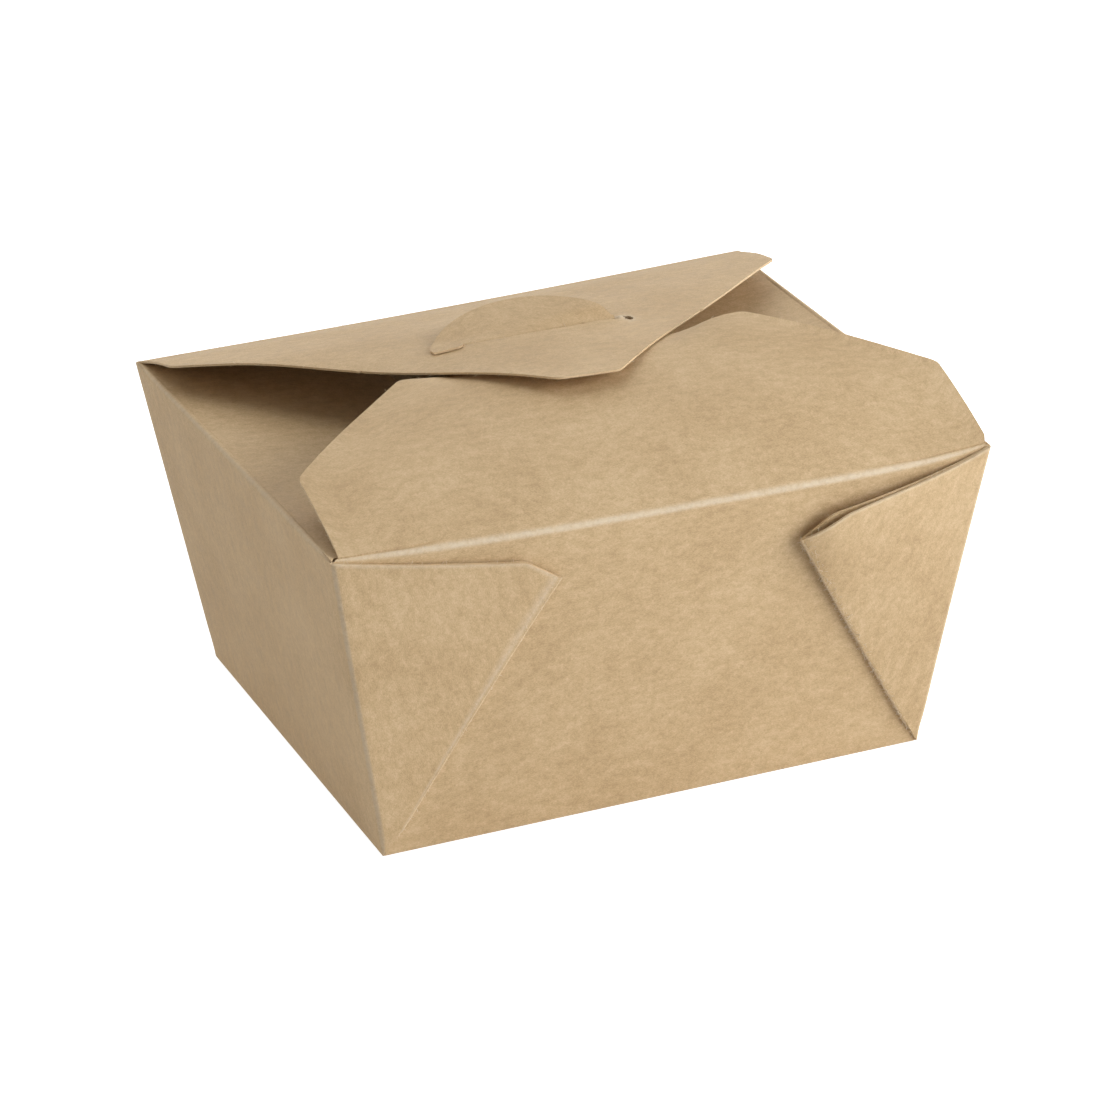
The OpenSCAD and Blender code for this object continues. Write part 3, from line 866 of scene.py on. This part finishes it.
def half_moon(sheet, cols, neck_x, neck_net):
    """The tab: it follows its own curve, and its ears are kept clear of the lid."""
    start = slit_from_front + EAR_BEHIND
    plan = tab_plan(cols, start)
    x, d = plan[:, :, 0] + TAB_SHIFT, plan[:, :, 1]
    floor = TOP_Z + lid_height(x, 2 * TOP_D - d) + CARD + TAB_CLEAR
    outside = smooth((np.abs(plan[:, :, 0]) - NECK + 1) / 1.5)
    roll = TAB_ROLL * plan[:, :, 0] * smooth((d - slit_from_front) / 4)
    height = TOP_Z + side_height(d) + roll
    tab = np.stack([x, d - TOP_D, np.maximum(height, mix(height, floor + 0.15, outside))], -1)
    net = np.interp(plan[:, :, 0], neck_x, neck_net) - (plan[:, :, 1] - start)
    sheet.add(tab, np.stack([plan[:, :, 0], net], -1))


half_moon(carton, *tongue(carton, far_edge, far_net))
print("tab reaches", round(slit_from_front + TAB_LEN, 1), "mm behind the front crease")

# %% [markdown]
# ## Node helpers
# A tree is easier to read when each node takes one line. So a few helpers come first: a tree
# with named sockets, a node with its inputs filled in, and the way both trees end.

# %% Node helpers
def add_object(name, data):
    """A new object at the origin, in the scene."""
    made = bpy.data.objects.new(name, data)
    bpy.context.scene.collection.objects.link(made)
    return made


def new_tree(name, kind, inputs, outputs):
    """A node tree with named sockets, and the two ends to work between."""
    tree = bpy.data.node_groups.new(name, kind)
    for way, sockets in (("INPUT", inputs), ("OUTPUT", outputs)):
        for label, sort in sockets.items():
            tree.interface.new_socket(label, in_out=way, socket_type="NodeSocket" + sort)
    given, made = tree.nodes.new("NodeGroupInput"), tree.nodes.new("NodeGroupOutput")
    return tree, given.outputs, made.inputs


def add_node(tree, kind, inputs, **settings):
    """Adds a node; each input takes a plain value or another node's output."""
    made = tree.nodes.new(kind)
    for name, value in settings.items():
        setattr(made, name, value)
    for name, value in inputs.items():
        if isinstance(value, bpy.types.NodeSocket):
            tree.links.new(value, made.inputs[name])
        else:
            made.inputs[name].default_value = value
    return made.outputs


def math_node(tree, operation, a, b):
    return add_node(tree, "ShaderNodeMath", {0: a, 1: b}, operation=operation)[0]


def add_up(tree, total, *others):
    for other in others:
        total = math_node(tree, "ADD", total, other)
    return total


def end_tree(tree, made, geometry, material):
    """Both trees end alike: real geometry, with its material set."""
    real = add_node(tree, "GeometryNodeRealizeInstances", {0: geometry})[0]
    paint = add_node(tree, "GeometryNodeSetMaterial", {"Geometry": real, "Material": material})
    tree.links.new(paint[0], made[0])


# %% [markdown]
# ## From a surface to card
# The sheet so far has no thickness. Solidify could give it one, but a node tree says more: it
# pushes the sheet half a card down, extrudes it up by a whole card, closes the underside, and
# marks every face of the cut edge, so the material can show the paler fibres there.

# %% Geometry Nodes tree for the card
def card_tree():
    tree, given, made = new_tree(
        "card_thickness", "GeometryNodeTree",
        {"Geometry": "Geometry", "Thickness": "Float", "Card": "Material"},
        {"Geometry": "Geometry"})
    normal = add_node(tree, "GeometryNodeInputNormal", {})["Normal"]
    half = math_node(tree, "MULTIPLY", given["Thickness"], -0.5)
    down = add_node(tree, "ShaderNodeVectorMath", {0: normal, "Scale": half}, operation="SCALE")[0]
    lower = add_node(tree, "GeometryNodeSetPosition",
                     {"Geometry": given["Geometry"], "Offset": down})[0]
    raised = add_node(tree, "GeometryNodeExtrudeMesh",
                      {"Mesh": lower, "Offset Scale": given["Thickness"], "Individual": False},
                      mode="FACES")
    upper = add_node(tree, "GeometryNodeStoreNamedAttribute",
                     {"Geometry": raised["Mesh"], "Name": "cut", "Value": raised["Side"]},
                     data_type="FLOAT", domain="FACE")[0]
    under = add_node(tree, "GeometryNodeFlipFaces", {"Mesh": lower})[0]
    join = tree.nodes.new("GeometryNodeJoinGeometry")
    for part in (under, upper):
        tree.links.new(part, join.inputs[0])
    weld = add_node(tree, "GeometryNodeMergeByDistance",
                    {"Geometry": join.outputs[0], "Distance": WELD / 2})[0]
    end_tree(tree, made, weld, given["Card"])
    return tree


CARD_TREE = card_tree()
print("card tree:", len(CARD_TREE.nodes), "nodes")


def socket_id(tree, name):
    return next(s.identifier for s in tree.interface.items_tree
                if s.in_out == "INPUT" and s.name == name)


def run_tree(mesh, tree, name, settings):
    """Runs a node tree on a mesh and returns the plain result as an object at the origin."""
    source = add_object(name + "_source", mesh)
    step = source.modifiers.new("nodes", "NODES")
    step.node_group = tree
    for label, value in settings.items():
        step[socket_id(tree, label)] = value
    seen = source.evaluated_get(bpy.context.evaluated_depsgraph_get())
    plain = bpy.data.meshes.new_from_object(seen)
    plain.name = name
    bpy.data.objects.remove(source)
    return add_object(name, plain)


SHARP_ANGLE = 50


def finish_card(piece):
    """Metres, smooth folds and crisp cut edges."""
    piece.data.transform(Matrix.Scale(MM, 4))
    piece.data.shade_smooth()
    piece.data.set_sharp_from_angle(angle=math.radians(SHARP_ANGLE))
    piece.data.update()
    return piece


# %% [markdown]
# ## Loose fibres
# Folded and cut kraft sheds tiny fibres, most of all along the front right web, whose slanted
# fold has begun to fray. A second tree scatters small bent fibres: many where the sheet is
# marked as frayed and a few on every cut edge, but none down where the box stands on the table.
# The seed is fixed, so they never move about.

# %% Geometry Nodes tree for the fibres
FIBRE_SIZES, FIBRE_THICK, FIBRE_FROM_Z = (0.4, 1.3), 0.055, 0.0015
FIBRE_BOW = {"Start": (0, 0, -0.1), "Middle": (0, 0.1, 0.55), "End": (0.45, 0, 0.8)}
FIBRE_TILT = np.array([1.1, 1.1, 3.1])


def fibre_tree():
    tree, given, made = new_tree(
        "card_fibres", "GeometryNodeTree",
        {"Geometry": "Geometry", "Density": "Float", "Edge share": "Float", "Length": "Float",
         "Seed": "Int", "Fibre": "Material"}, {"Geometry": "Geometry"})
    fray, cut = [add_node(tree, "GeometryNodeInputNamedAttribute", {"Name": label},
                          data_type="FLOAT")["Attribute"] for label in ("fray", "cut")]
    edges = math_node(tree, "MULTIPLY", cut, given["Edge share"])
    amount = math_node(tree, "MULTIPLY", add_up(tree, fray, edges), given["Density"])
    place = add_node(tree, "GeometryNodeInputPosition", {})[0]
    height = add_node(tree, "ShaderNodeSeparateXYZ", {0: place})["Z"]
    off_table = math_node(tree, "GREATER_THAN", height, FIBRE_FROM_Z)
    amount = math_node(tree, "MULTIPLY", amount, off_table)
    scatter = add_node(tree, "GeometryNodeDistributePointsOnFaces",
                       {"Mesh": given["Geometry"], "Density": amount, "Seed": given["Seed"]})
    bow = add_node(tree, "GeometryNodeCurveQuadraticBezier", {"Resolution": 4, **FIBRE_BOW})[0]
    ring = add_node(tree, "GeometryNodeCurvePrimitiveCircle",
                    {"Resolution": 3, "Radius": FIBRE_THICK})["Curve"]
    tube = add_node(tree, "GeometryNodeCurveToMesh", {"Curve": bow, "Profile Curve": ring})[0]
    size = add_node(tree, "FunctionNodeRandomValue",
                    {2: FIBRE_SIZES[0], 3: FIBRE_SIZES[1]}, data_type="FLOAT")[1]
    fibres = add_node(tree, "GeometryNodeInstanceOnPoints",
                      {"Points": scatter["Points"], "Rotation": scatter["Rotation"],
                       "Instance": tube,
                       "Scale": math_node(tree, "MULTIPLY", size, given["Length"])})[0]
    tilt = add_node(tree, "FunctionNodeRandomValue", {0: -FIBRE_TILT, 1: FIBRE_TILT},
                    data_type="FLOAT_VECTOR")[0]
    turned = add_node(tree, "GeometryNodeRotateInstances",
                      {"Instances": fibres, "Rotation": tilt})[0]
    end_tree(tree, made, turned, given["Fibre"])
    return tree


FIBRE_TREE = fibre_tree()
print("fibre tree:", len(FIBRE_TREE.nodes), "nodes")

# %% [markdown]
# ## Kraft card
# Kraft is long brown fibres pressed flat: soft clouds, short darker and paler streaks that all
# run along the sheet, a few flecks, and paler, rougher fibres where the sheet is creased or cut.
# On the front crease and the vertical corners that paler colour is also a painted highlight.
# One node group makes the colour, roughness and height from the flat sheet's own map, so the
# streaks turn with the panels, as they do on the real box.

# %% Kraft node group
# Each layer of noise: its scale, detail, stretch along the sheet and roughness.
KRAFT_NOISE = {"clouds": (5.0, 2), "mottle": (42.0, 4, (0.8, 1.25, 1)),
               "streaks": (125.0, 3, (0.85, 1.15, 1)), "fibres": (430.0, 2, (0.6, 1.35, 1), 0.7)}
# How each layer shows: the range of its values, and how far that moves the tone up and down.
KRAFT_TONE = {"clouds": (0.3, 0.7, 0.32), "mottle": (0.25, 0.75, 0.62),
              "streaks": (0.25, 0.75, 0.46), "fibres": (0.2, 0.8, 1.1)}
KRAFT_BUMPS = {"fibres": 0.6, "streaks": 0.5, "mottle": 0.5}
# The pale colour of rubbed folds, also used as a painted highlight on the front crease and the
# vertical corners.
WORN_SHARE, WORN_COLOUR = 0.8, (0.78, 0.67, 0.51, 1)
CUT_SHARE, CUT_COLOUR = 0.5, (0.64, 0.48, 0.29, 1)


def noise(tree, vector, scale, detail, stretch=(1, 1, 1), rough=0.55):
    place = add_node(tree, "ShaderNodeMapping", {"Vector": vector, "Scale": stretch})[0]
    return add_node(tree, "ShaderNodeTexNoise", {"Vector": place, "Scale": scale,
                                                 "Detail": detail, "Roughness": rough})["Fac"]


def spread(tree, value, low, high, out_low, out_high):
    """Stretches the values from low to high over another range."""
    return add_node(tree, "ShaderNodeMapRange", {"Value": value, "From Min": low, "From Max": high,
                                                 "To Min": out_low, "To Max": out_high})["Result"]


def colour_mix(tree, factor, a, b):
    return add_node(tree, "ShaderNodeMix", {0: factor, 6: a, 7: b}, data_type="RGBA")[2]


def kraft_group():
    tree, given, made = new_tree(
        "kraft_fibres", "ShaderNodeTree",
        {"Sheet": "Vector", "Wear": "Float", "Cut": "Float",
         "Card": "Color", "Pale": "Color", "Dark": "Color"},
        {"Color": "Color", "Roughness": "Float", "Height": "Float"})
    sheet = given["Sheet"]
    layer = {label: noise(tree, sheet, *sizes) for label, sizes in KRAFT_NOISE.items()}
    tone = add_up(tree, *[spread(tree, layer[label], low, high, -move, move)
                          for label, (low, high, move) in KRAFT_TONE.items()])
    dark = colour_mix(tree, spread(tree, tone, -1, 0, 1, 0), given["Card"], given["Dark"])
    body = colour_mix(tree, spread(tree, tone, 0, 1, 0, 1), dark, given["Pale"])
    broken = spread(tree, noise(tree, sheet, 90.0, 3, (1, 1, 1), 0.7), 0.32, 0.6, 0.5, 1)
    # Pale rubbed card, which on the front crease and the vertical corners is also a painted
    # highlight.
    worn = math_node(tree, "MULTIPLY", given["Wear"], broken)
    body = colour_mix(tree, math_node(tree, "MULTIPLY", worn, WORN_SHARE), body, WORN_COLOUR)
    body = colour_mix(tree, math_node(tree, "MULTIPLY", given["Cut"], CUT_SHARE), body, CUT_COLOUR)
    bumps = add_up(tree, *[math_node(tree, "MULTIPLY", layer[label], share)
                           for label, share in KRAFT_BUMPS.items()])
    tree.links.new(body, made["Color"])
    tree.links.new(spread(tree, layer["mottle"], 0.3, 0.7, 0.62, 0.78), made["Roughness"])
    tree.links.new(bumps, made["Height"])
    return tree


KRAFT_GROUP = kraft_group()
SHEEN, BUMP_STRENGTH, BUMP_DEPTH = 0.65, 0.35, 0.00012


def kraft_material(name, card, pale, dark):
    made = bpy.data.materials.new(name)
    made.use_nodes = True
    tree = made.node_tree
    shader = next(n for n in tree.nodes if n.type == "BSDF_PRINCIPLED")
    shader.inputs["Specular IOR Level"].default_value = SHEEN
    inputs = {"Sheet": add_node(tree, "ShaderNodeUVMap", {}, uv_map="net")["UV"]}
    for label in ("Wear", "Cut"):
        read = add_node(tree, "ShaderNodeAttribute", {}, attribute_name=label.lower())
        inputs[label] = read["Fac"]
    for label, colour in (("Card", card), ("Pale", pale), ("Dark", dark)):
        inputs[label] = (*colour, 1)
    kraft = add_node(tree, "ShaderNodeGroup", inputs, node_tree=KRAFT_GROUP)
    bump = add_node(tree, "ShaderNodeBump", {"Strength": BUMP_STRENGTH, "Distance": BUMP_DEPTH,
                                             "Height": kraft["Height"]})
    tree.links.new(bump["Normal"], shader.inputs["Normal"])
    tree.links.new(kraft["Color"], shader.inputs["Base Color"])
    tree.links.new(kraft["Roughness"], shader.inputs["Roughness"])
    return made


kraft = kraft_material("kraft_card", card=(0.568, 0.394, 0.206), pale=(0.683, 0.502, 0.292),
                       dark=(0.443, 0.292, 0.141))
print("kraft card material ready")

# %% [markdown]
# ## Three pieces of one sheet
# The carton rides on the box and stands for the carton and tongue solids. The lid rides on the
# lid body. The narrow band between them is attached to neither and stays where it is made.

# %% Build the card pieces
pieces = {}
for name, sheet in (("carton_card", carton), ("lid_fold", band_sheet), ("lid_card", lid_sheet)):
    settings = {"Thickness": CARD, "Card": kraft}
    pieces[name] = finish_card(run_tree(sheet.mesh(name), CARD_TREE, name, settings))
    print(name, len(pieces[name].data.polygons), "faces")
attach(pieces["carton_card"], "box")
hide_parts("carton", "lock_tab")
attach(pieces["lid_card"], "lid")
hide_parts("rear_flap")
pale_fibre = kraft_material("kraft_fibre", card=(0.76, 0.64, 0.46), pale=(0.84, 0.73, 0.56),
                            dark=(0.6, 0.46, 0.28))
FIBRES = {"Density": 7e6, "Edge share": 0.12, "Length": 0.0007, "Seed": 7, "Fibre": pale_fibre}
for name, body in (("carton_card", "box"), ("lid_card", "lid")):
    fibres = run_tree(pieces[name].data.copy(), FIBRE_TREE, name.replace("card", "fibres"), FIBRES)
    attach(fibres, body)
    print(fibres.name, len(fibres.data.polygons), "faces")
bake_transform(pieces["lid_fold"])

# %% [markdown]
# ## Camera
# The camera stands where the photograph's did, a long lens 0.84 m away and turned a hair
# about its axis. Its focal length is kept in the photograph's own pixels.

# %% Camera
CAM_AZIMUTH, CAM_ELEVATION, CAM_ROLL = -22.93, 24.51, -1.05
CAM_DISTANCE, CAM_TARGET = 839.8, np.array([0.38, -1.90, 32.31])
CAM_FOCAL_PX, FRAME_PX, CAM_AXIS_PX, SENSOR = 4302.7, 1100, (560, 552.7), 36


def towards(azimuth, elevation):
    """The direction out from the box; azimuth is measured from its front, round to the right."""
    a, e = math.radians(azimuth), math.radians(elevation)
    return np.array([math.sin(a) * math.cos(e), -math.cos(a) * math.cos(e), math.sin(e)])


def make_camera():
    back = towards(CAM_AZIMUTH, CAM_ELEVATION)
    right = unit(np.cross(-back, [0, 0, 1.0]))
    up = np.cross(right, -back)
    c, s = math.cos(math.radians(CAM_ROLL)), math.sin(math.radians(CAM_ROLL))
    right, up = right * c + up * s, up * c - right * s
    place = (CAM_TARGET + back * CAM_DISTANCE) * MM
    lens = bpy.data.cameras.new("camera")
    lens.sensor_width = SENSOR
    lens.lens = CAM_FOCAL_PX / FRAME_PX * lens.sensor_width
    lens.shift_x = (FRAME_PX / 2 - CAM_AXIS_PX[0]) / FRAME_PX
    lens.shift_y = (CAM_AXIS_PX[1] - FRAME_PX / 2) / FRAME_PX
    lens.clip_start, lens.clip_end = 0.01, 20
    camera = add_object("camera", lens)
    turn = Matrix([list(row) for row in np.stack([right, up, back], 1)])
    camera.matrix_world = Matrix.Translation(place) @ turn.to_4x4()
    bpy.context.scene.camera = camera
    return lens.lens


print("lens, mm:", round(make_camera(), 1))

# %% [markdown]
# ## Floor and light
# The floor is white to the camera but still takes a soft shadow. The strongest lamp stands low
# on the right; six weaker ones round the box fill the left side, light the lid from behind and
# leave the space under it dark. The world gives almost no light of its own.

# %% Floor and light
FLOOR_HALF, FLOOR_WHITE, FLOOR_GLOW, WORLD_LIGHT = 3.0, (0.8, 0.8, 0.8, 1), 0.82, 0.02
# Each lamp: azimuth and elevation in degrees, distance in metres, power in watts.
LAMPS = {"key_right": (50, 15, 0.75, 8.2), "high_right": (75, 50, 1.2, 1.3),
         "front_left": (-45, 15, 1.2, 1.1), "left": (-100, 20, 1.2, 3.5),
         "top": (-160, 62, 1.2, 5.5), "rear": (158, 16, 1.2, 2.6),
         "rear_right": (130, 22, 1.2, 1.8)}
LAMP_TINT = {"key_right": (1, 1.02, 1.05), "left": (1, 0.98, 0.93), "front_left": (1, 0.93, 0.78)}
LAMP_SHARE, LAMP_AIM = 1.15, Vector((0, 0, 0.03))


def seen_directly(tree):
    """1 for camera, glossy and transmitted rays: those that show the background."""
    path = add_node(tree, "ShaderNodeLightPath", {})
    rays = [path[f"Is {kind} Ray"] for kind in ("Camera", "Glossy", "Transmission")]
    return math_node(tree, "MINIMUM", add_up(tree, *rays), 1.0)


def make_floor():
    mesh = bpy.data.meshes.new("floor")
    corners = [(x * FLOOR_HALF, y * FLOOR_HALF, 0) for x, y in ((-1, -1), (1, -1), (1, 1), (-1, 1))]
    mesh.from_pydata(corners, [], [(0, 1, 2, 3)])
    floor = add_object("floor", mesh)
    paint = bpy.data.materials.new("floor_white")
    paint.use_nodes = True
    tree = paint.node_tree
    tree.nodes.clear()
    matt = add_node(tree, "ShaderNodeBsdfDiffuse", {"Color": FLOOR_WHITE})[0]
    strength = math_node(tree, "MULTIPLY", seen_directly(tree), FLOOR_GLOW)
    glow = add_node(tree, "ShaderNodeEmission", {"Strength": strength})[0]
    both = add_node(tree, "ShaderNodeAddShader", {0: matt, 1: glow})[0]
    add_node(tree, "ShaderNodeOutputMaterial", {"Surface": both})
    mesh.materials.append(paint)


def make_world(strength):
    """White where it is seen directly, and nearly dark as a source of light."""
    world = bpy.data.worlds.new("studio")
    bpy.context.scene.world = world
    world.use_nodes = True
    tree = world.node_tree
    sky = next(n for n in tree.nodes if n.type == "BACKGROUND")
    sky.inputs["Color"].default_value = (1, 1, 1, 1)
    level = add_up(tree, math_node(tree, "MULTIPLY", seen_directly(tree), 1 - strength), strength)
    tree.links.new(level, sky.inputs["Strength"])


def make_lamp(name, azimuth, elevation, distance, power):
    """A round soft lamp that looks at the box; its width is a fixed share of its distance."""
    lamp = bpy.data.lights.new(name, "AREA")
    lamp.shape = "DISK"
    lamp.size = LAMP_SHARE * distance
    lamp.energy, lamp.color = power, LAMP_TINT.get(name, (1, 1, 1))
    thing = add_object(name, lamp)
    away = Vector(towards(azimuth, elevation))
    thing.location = LAMP_AIM + away * distance
    thing.rotation_euler = (-away).to_track_quat("-Z", "Y").to_euler()


make_floor()
make_world(WORLD_LIGHT)
for lamp_name, settings in LAMPS.items():
    make_lamp(lamp_name, *settings)
bpy.context.scene.view_settings.view_transform = "Standard"
print("floor, world and", len(LAMPS), "lamps are in place")
